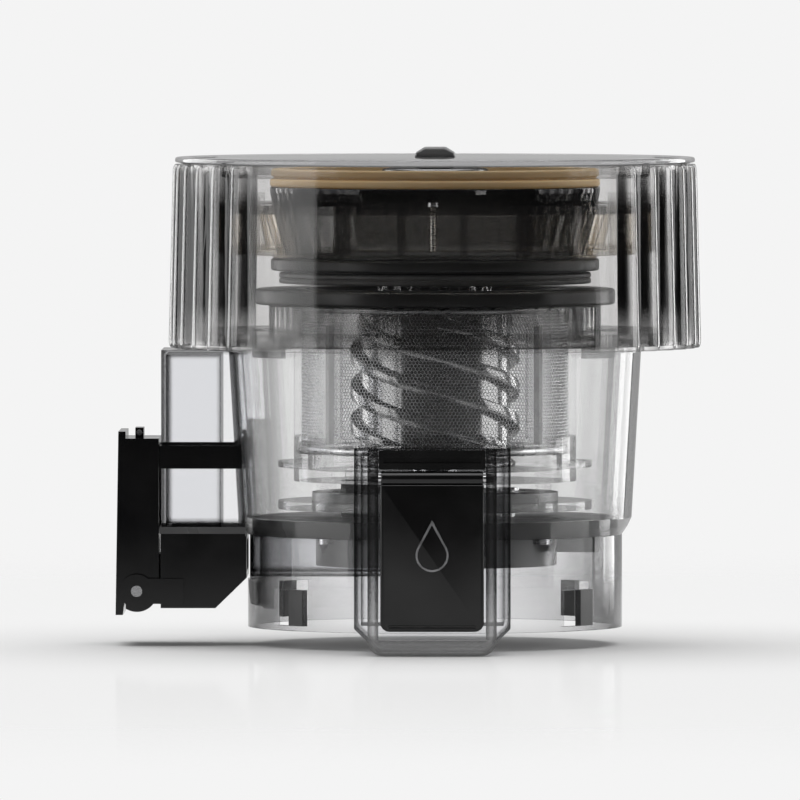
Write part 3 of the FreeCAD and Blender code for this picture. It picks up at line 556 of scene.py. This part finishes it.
def build_feed_parts():
    low, high = z_span("feed_bowl")
    top = outer_radius("feed_bowl")
    foot = top - 5
    outline = [(foot - 2.5, low), (foot, low, 1.5), (top, high - 2), (top, high, 0.5), (top - 2.5, high)]
    lathe("feed_bowl_wall", outline, DARK_SMOKY, "feed_bowl")
    low, high = z_span("feed_bowl_seal")
    inner = top - 3.5
    waist = (low + high) / 2
    outline = [(inner, low), (top, low, 0.9), (top, waist - 0.5, 0.9), (top - 1.3, waist - 0.3, 0.2)]
    outline += [(top - 1.3, waist + 0.3, 0.2), (top - 0.4, waist + 0.5, 0.9)]
    outline += [(top - 0.4, high, 0.9), (inner, high)]
    lathe("feed_seal", outline, AMBER_SILICONE, "feed_bowl_seal")
    low, high = z_span("feed_funnel")
    rim = outer_radius("feed_funnel")
    trough, throat, mouth = 133.2, 57.9, 63.2
    inside, lip = trough + 2, high - 0.2
    outline = [(rim - 2, high), (rim - 2, inside, 2), (throat + 2.5, inside, 1.5), (mouth, lip)]
    outline += [(mouth - 2, lip), (throat - 2, low), (throat, low), (throat + 0.4, trough, 0.6)]
    outline += [(rim, trough, 1.6), (rim, high)]
    lathe("funnel_trough", outline, AMBER, "feed_funnel")
    keep_cad("funnel_flange", FLANGE_SMOKY)
    keep_cad("funnel_screws", STEEL, 0.15)
    low, high = z_span("neck_ring")
    edge = outer_radius("neck_ring")
    bore = 50.6
    step = 127.1
    outline = [(bore, low), (edge - 5, low), (edge - 5, step, 0.2), (edge, step, 0.9)]
    outline += [(edge, high, 0.9), (bore, high)]
    lathe("neck_clamp", outline, BLACK, "neck_ring")
    low, high = z_span("neck_seal")
    edge = outer_radius("neck_seal")
    middle = (low + high) / 2
    outline = [(bore, low), (edge, low, 0.9), (edge, middle - 0.4), (edge - 0.7, middle)]
    outline += [(edge, middle + 0.4), (edge, high, 0.9), (bore, high)]
    lathe("neck_gasket", outline, GREY_SILICONE, "neck_seal")
    keep_cad("drum_ribs", SMOKY, 0.15)
    keep_cad("hopper_floor", FLOOR_SMOKY, 0.6, 3)


# Strainer, wiper and auger


MESH_PITCH = 1.3
MESH_OPEN = 0.92


def build_mesh_wall():
    """The strainer's wall in two halves, with staggered hexagonal holes cut through it."""
    low, high = z_span("strainer_mesh")
    radius = outer_radius("strainer_mesh") - 0.05
    columns = int(math.pi * radius / MESH_PITCH)
    step = math.pi * radius / columns
    row_height = step * 0.866
    rows = int((high - low - 4) / row_height)
    first_row = (low + high - rows * row_height) / 2
    for side, start in (("front", math.pi), ("back", 0.0)):
        points, faces = [], []

        def place(across, height):
            across = min(max(across, 0.0), columns * step)
            angle = start + across / radius
            points.append((radius * math.cos(angle), radius * math.sin(angle), height))
            return len(points) - 1

        for row in range(rows):
            middle_z = first_row + (row + 0.5) * row_height
            for column in range(columns + row % 2):
                middle = (column + 0.5 - 0.5 * (row % 2)) * step
                whole = step / 2 < middle + 0.01 and middle < columns * step - step / 2 + 0.01
                rim, hole = [], []
                for corner in range(6):
                    turn = math.radians(60 * corner + 30)
                    across, rise = step / math.sqrt(3) * math.cos(turn), row_height / 1.5 * math.sin(turn)
                    rim.append(place(middle + across, middle_z + rise))
                    if whole:
                        hole.append(place(middle + across * MESH_OPEN, middle_z + rise * MESH_OPEN))
                if not whole:
                    kept = rim if len({points[index] for index in rim}) == 6 else None
                    outline = []
                    for index in rim:
                        if points[index] not in [points[other] for other in outline]:
                            outline.append(index)
                    faces.append(tuple(kept or outline))
                    continue
                for corner in range(6):
                    following = (corner + 1) % 6
                    faces.append((rim[corner], rim[following], hole[following], hole[corner]))
        top_row = first_row + rows * row_height
        for bottom, top in ((low, first_row + row_height * 0.3), (top_row - row_height * 0.3, high)):
            first = len(points)
            for column in range(columns + 1):
                place(column * step, bottom)
                place(column * step, top)
            for column in range(columns):
                a = first + 2 * column
                faces.append((a, a + 2, a + 3, a + 1))
        mesh = mesh_from(f"perforated_wall_{side}", points, faces)
        piece = finish_mesh(f"perforated_wall_{side}", mesh, MESH_STEEL, "strainer_mesh")
        wall = piece.modifiers.new("wall", "SOLIDIFY")
        wall.thickness = 0.3 * MM
        wall.offset = -1


def build_strainer():
    build_mesh_wall()
    keep_cad("strainer_cage", CLEAR, 0.4, 3)
    keep_cad("strainer_base", CLEAR, 0.5, 3)
    low, high = z_span("strainer_collar")
    rim = outer_radius("strainer_collar")
    bore = 47.0
    outline = [(bore, low), (rim, low, 1.2), (rim, high, 1.4), (bore, high)]
    lathe("collar_ring", outline, BLACK, "strainer_collar")
    low, high = z_span("collar_neck")
    neck = outer_radius("collar_neck")
    lathe("collar_skirt", ring_outline(neck, neck - 2, low, high), NECK_SMOKY, "collar_neck", radius=0.8)
    keep_cad("collar_spokes", CLEAR)
    keep_cad("pulp_tube", BLACK, 0.4)
    keep_cad("wiper_frame", CLEAR, 0.4)
    keep_cad("wiper_blades", CLEAR_SILICONE, 0.2)
    keep_cad("wiper_gear", GEAR_GREY, 0.15)
    keep_cad("idler_gear", GEAR_GREY, 0.15)
    keep_cad("auger_gear", GEAR_GREY, 0.15)


SCREW_CORE = 26.8
FLIGHT_RADIUS = 30.2
FLIGHT_LEAD = 50.0
FLIGHT_STARTS = 4
FLIGHT_WIDTH = 4.6


def build_flights(low, high):
    """The helical ridges, each swept down the core and faded at both ends."""
    pitch = FLIGHT_LEAD / FLIGHT_STARTS
    length = high - low - FLIGHT_WIDTH
    steps = 320
    half = FLIGHT_WIDTH / 2
    for start in range(FLIGHT_STARTS):
        rings = []
        for step in range(steps + 1):
            drop = length * step / steps
            middle = high - half - drop
            turn = 2 * math.pi * (drop + start * pitch) / FLIGHT_LEAD
            fade = min(1.0, (drop + 0.05) / 4, (length - drop + 0.05) / 4)
            top = SCREW_CORE + (FLIGHT_RADIUS - SCREW_CORE) * fade
            foot = SCREW_CORE - 0.6
            profile = [(foot, -half - 0.25), (top - 0.5 * fade, -half)]
            profile += [(top - 0.15 * fade, 0.15 - half), (top, 0.5 - half)]
            profile += [(r, -across) for r, across in reversed(profile)]
            rings.append([(r * math.cos(turn), r * math.sin(turn), middle + across) for r, across in profile])
        name = f"auger_flight_{start + 1}"
        finish_mesh(name, swept_mesh(name, rings, closed=False), AUGER_BLACK, "auger_screw")


def build_auger():
    low, high = z_span("auger_screw")
    start, end = low + 3.5, high - 6
    foot, shoulder, bore = SCREW_CORE + 2, 20.7, 8.05
    outline = [(bore, low, 0), (foot, low, 1.2), (foot, low + 1.6, 0.6)]
    outline += [(SCREW_CORE, low + 3.4, 0.6), (SCREW_CORE, end, 0)]
    for part in range(1, 7):
        turn = math.pi / 2 * part / 6
        across, rise = math.cos(turn), math.sin(turn)
        outline.append((shoulder + (SCREW_CORE - shoulder) * across, end + (high - end) * rise, 0))
    lathe("auger_core", outline + [(bore, high, 0)], AUGER_BLACK, "auger_screw")
    build_flights(start, end)
    low, high = z_span("auger_column")
    radius = outer_radius("auger_column")
    flutes, depth = 18, 1.5
    levels = [(low, 0), (low + 3, 0), (low + 5, 0.7), (low + 6.5, 1)]
    levels += [(high - 3, 1), (high - 1.2, 1), (high - 0.4, 1)]
    steps = flutes * 16
    rings = []
    for step in range(steps):
        angle = 2 * math.pi * step / steps
        away = math.remainder(angle, 2 * math.pi / flutes) * radius
        groove = max(0.0, 1 - (away / 1.9) ** 2) ** 0.5 * depth
        column = [(AXIS, low)] + [(radius - groove * share, z) for z, share in levels]
        column += [(radius - 0.5 - groove, high), (AXIS, high)]
        rings.append([(r * math.cos(angle), r * math.sin(angle), z) for r, z in column])
    finish_mesh("auger_stem", swept_mesh("auger_stem", rings), AUGER_BLACK, "auger_column")
    low, high = z_span("auger_cap")
    radius = outer_radius("auger_cap")
    outline = [(AXIS, low, 0), (radius, low, 0.3), (radius - 0.4, high - 0.7, 1), (radius - 4, high, 2)]
    outline += [(5, high), (4.2, high - 0.6), (AXIS, high - 0.6, 0)]
    lathe("auger_top", outline, AUGER_BLACK, "auger_cap")
    keep_cad("auger_wings", AUGER_BLACK, 1.2, 4)
    keep_cad("drive_shaft", STEEL, 0.3)
    keep_cad("idler_pin", STEEL, 0.2)


# Bowl, skirt and floor


def build_bowl():
    keep_cad("juice_bowl", BOWL_CLEAR, 0.5, 3)
    keep_cad("bowl_floor", BLACK, 0.6, 3)
    keep_cad("base_skirt", SKIRT_CLEAR, 0.5, 3)
    keep_cad("bayonet_blocks", BLACK, 0.3)
    keep_cad("floor_screws", STEEL, 0.15)
    keep_cad("drive_collar", GREY, 0.4)
    keep_cad("shaft_bush", GEAR_GREY, 0.3)
    keep_cad("shaft_seal", GREY_SILICONE, 0.2)


# Juice outlet


KNUCKLE_RADIUS, KNUCKLE_BORE = 2.6, 1.75
CAP_PIN_Y = -99.5


def build_knuckle(end, pin_z):
    """The cap's barrel about its hinge pin, bored so that the pin runs free."""
    outline = [(-end, KNUCKLE_BORE, 0.1), (end, KNUCKLE_BORE, 0.1)]
    outline += [(end, KNUCKLE_RADIUS, 0.4), (-end, KNUCKLE_RADIUS, 0.4)]
    profile = rounded(outline, 0)
    steps = 48
    rings = []
    for step in range(steps):
        turn = math.tau * step / steps
        across, rise = math.cos(turn), math.sin(turn)
        rings.append([(x, CAP_PIN_Y + r * across, pin_z + r * rise) for x, r in profile])
    finish_mesh("cap_knuckle", swept_mesh("cap_knuckle", rings), PANEL_BLACK, "outlet_cap")


def build_outlet():
    # The housing and frame carry painted dark outlines along their edges.
    keep_cad("outlet_housing", PAINTED_OUTLINE_CLEAR, 1.0, 4)
    keep_cad("outlet_frame", PAINTED_OUTLINE_FRAME_CLEAR, 0.9, 4)
    keep_cad("outlet_bar", PANEL_BLACK, 0.5, 3)
    (_, front, low), (half, _, high) = box_mm("outlet_cap")
    panel_back, corner, gap = -98.2, 3.2, 0.3
    panel_top = high - KNUCKLE_RADIUS - KNUCKLE_BORE - gap
    outline = [(-half, low, corner), (half, low, corner), (half, panel_top, 0.4), (-half, panel_top, 0.4)]
    prism("cap_panel", outline, front + 1.4, panel_back, "y", PANEL_BLACK, "outlet_cap", soften=0.7)
    build_knuckle(half - gap, high - KNUCKLE_RADIUS)
    side, lip_low, lip_high = half - 2.6, low + 0.5, low + 2.0
    lip = [(-side, lip_low), (side, lip_low), (side, lip_high), (-side, lip_high)]
    prism("cap_lip", lip, front, front + 2.2, "y", PANEL_BLACK, "outlet_cap")
    keep_cad("cap_seal", GREY_SILICONE, 0.5)
    keep_cad("drop_icon", SILVER, 0.08)
    keep_cad("cap_hinge_pin", STEEL, 0.2)


# Pulp outlet


def build_pulp_outlet():
    # The chute and channel carry painted dark outlines along their edges.
    keep_cad("pulp_chute", PAINTED_OUTLINE_CLEAR, 1.0, 4)
    keep_cad("chute_band", GLOSS_BLACK, 0.2)
    keep_cad("chute_sill", GREY, 0.3)
    keep_cad("pulp_elbow", GLOSS_BLACK, 0.6, 3)
    keep_cad("pulp_channel", PAINTED_OUTLINE_CLEAR, 0.4)
    keep_cad("pulp_lever", GLOSS_BLACK, 0.9, 3)
    keep_cad("lever_plate", GLOSS_BLACK, 0.5, 3)
    keep_cad("lever_ear", GLOSS_BLACK, 0.5, 3)
    keep_cad("lever_pin", STEEL, 0.3)
    keep_cad("latch_pin", STEEL, 0.2)
    keep_cad("lever_seal", GREY_SILICONE, 0.8, 3)


# Studio


def build_floor():
    """A pale floor under the lowest point, which fades into the background away from the object."""
    radius, level = 2.4, cad_low[2] - 0.0002
    mesh = bpy.data.meshes.new("studio_floor")
    corners = 64
    turns = [math.tau * index / corners for index in range(corners)]
    points = [(radius * math.cos(turn), radius * math.sin(turn), level) for turn in turns]
    mesh.from_pydata(points, [], [tuple(range(corners))])
    material, tree, output = new_tree("studio_floor")
    where = tree.nodes.new("ShaderNodeTexCoord")
    span = add(tree, "ShaderNodeVectorMath", operation="LENGTH")
    tree.links.new(where.outputs["Object"], span.inputs[0])
    fade = ranged(tree, span.outputs["Value"], 0.0, 1.0, 0.2, 0.9)
    fade.node.interpolation_type = "SMOOTHSTEP"
    dull = add(tree, "ShaderNodeBsdfDiffuse", Color=(0.74, 0.74, 0.74, 1))
    gloss = add(tree, "ShaderNodeBsdfGlossy", Color=(0.95, 0.95, 0.95, 1), Roughness=0.06)
    mixed = add(tree, "ShaderNodeMixShader", Fac=0.12)
    tree.links.new(dull.outputs["BSDF"], mixed.inputs[1])
    tree.links.new(gloss.outputs["BSDF"], mixed.inputs[2])
    clear = tree.nodes.new("ShaderNodeBsdfTransparent")
    surface = tree.nodes.new("ShaderNodeMixShader")
    tree.links.new(fade, surface.inputs["Fac"])
    tree.links.new(mixed.outputs["Shader"], surface.inputs[1])
    tree.links.new(clear.outputs["BSDF"], surface.inputs[2])
    tree.links.new(surface.outputs["Shader"], output.inputs["Surface"])
    mesh.materials.append(material)
    floor = bpy.data.objects.new("studio_floor", mesh)
    bpy.context.scene.collection.objects.link(floor)
    return floor


def softbox(name, place, aim, width, height, power):
    light = bpy.data.lights.new(name, "AREA")
    light.shape = "RECTANGLE"
    light.size = width
    light.size_y = height
    light.energy = power
    lamp = bpy.data.objects.new(name, light)
    lamp.location = place
    lamp.rotation_euler = (Vector(aim) - Vector(place)).to_track_quat("-Z", "Y").to_euler()
    lamp.visible_camera = False
    bpy.context.scene.collection.objects.link(lamp)
    return lamp


def link_light(lamp, piece, state):
    """Keeps a lamp off one piece, or lets it light nothing else."""
    linked = bpy.data.collections.new(f"{lamp.name}_linked")
    linked.objects.link(piece)
    linked.collection_objects[0].light_linking.link_state = state
    lamp.light_linking.receiver_collection = linked


def build_lights(floor):
    world = bpy.data.worlds.new("studio")
    bpy.context.scene.world = world
    world.use_nodes = True
    tree = world.node_tree
    tree.nodes.clear()
    output = tree.nodes.new("ShaderNodeOutputWorld")
    seen = add(tree, "ShaderNodeBackground", Color=(0.905, 0.905, 0.905, 1), Strength=1.0)
    where = tree.nodes.new("ShaderNodeTexCoord")
    split = tree.nodes.new("ShaderNodeSeparateXYZ")
    tree.links.new(where.outputs["Generated"], split.inputs["Vector"])
    glow = ranged(tree, split.outputs["Y"], 0.035, 0.55, -0.25, 0.6)
    fill = add(tree, "ShaderNodeBackground", Color=(1, 1, 1, 1))
    tree.links.new(glow, fill.inputs["Strength"])
    path = tree.nodes.new("ShaderNodeLightPath")
    mixed = tree.nodes.new("ShaderNodeMixShader")
    tree.links.new(path.outputs["Is Camera Ray"], mixed.inputs["Fac"])
    tree.links.new(fill.outputs["Background"], mixed.inputs[1])
    tree.links.new(seen.outputs["Background"], mixed.inputs[2])
    tree.links.new(mixed.outputs["Shader"], output.inputs["Surface"])
    aim = (0, 0, 0.08)
    softbox("top_box", (0.0, 0.1, 2.2), aim, 3.2, 3.2, 84)
    sides = [softbox("left_box", (-1.16, -0.31, 0.3), aim, 1.0, 1.0, 9)]
    sides.append(softbox("left_back_box", (-0.95, 0.75, 0.3), aim, 0.8, 1.0, 11))
    sides.append(softbox("right_box", (1.2, 0.1, 0.3), aim, 0.8, 1.0, 9))
    sides.append(softbox("right_back_box", (0.85, 0.85, 0.3), aim, 0.4, 1.0, 7))
    for lamp in sides:
        link_light(lamp, floor, "EXCLUDE")
    strip = softbox("feed_bowl_strip", (0.85, -1.36, 0.3), aim, 0.2, 1.2, 4)
    link_light(strip, bpy.data.objects["feed_bowl_wall"], "INCLUDE")


CAMERA_DISTANCE = 6.0
CAMERA_RISE = math.radians(1.7)
CAMERA_TURN = math.radians(0.7)
CAMERA_LENS = 756.0


def build_camera():
    """A far camera with a long lens, a little above the middle of the chamber."""
    aim = Vector((-0.0125, 0.0, 0.0807))
    away = Vector((math.sin(CAMERA_TURN), -math.cos(CAMERA_TURN), math.tan(CAMERA_RISE)))
    camera_data = bpy.data.cameras.new("camera")
    camera_data.lens = CAMERA_LENS
    camera_data.sensor_width = 36.0
    camera_data.clip_end = 100.0
    camera = bpy.data.objects.new("camera", camera_data)
    camera.location = aim + away.normalized() * CAMERA_DISTANCE
    camera.rotation_euler = (aim - camera.location).to_track_quat("-Z", "Y").to_euler()
    bpy.context.scene.collection.objects.link(camera)
    bpy.context.scene.camera = camera


build_drum()
build_lid()
build_feed_parts()
build_strainer()
build_auger()
build_bowl()
build_outlet()
build_pulp_outlet()
build_lights(build_floor())
build_camera()
bpy.context.scene.view_settings.view_transform = "Standard"
bpy.context.scene.cycles.transparent_max_bounces = 48
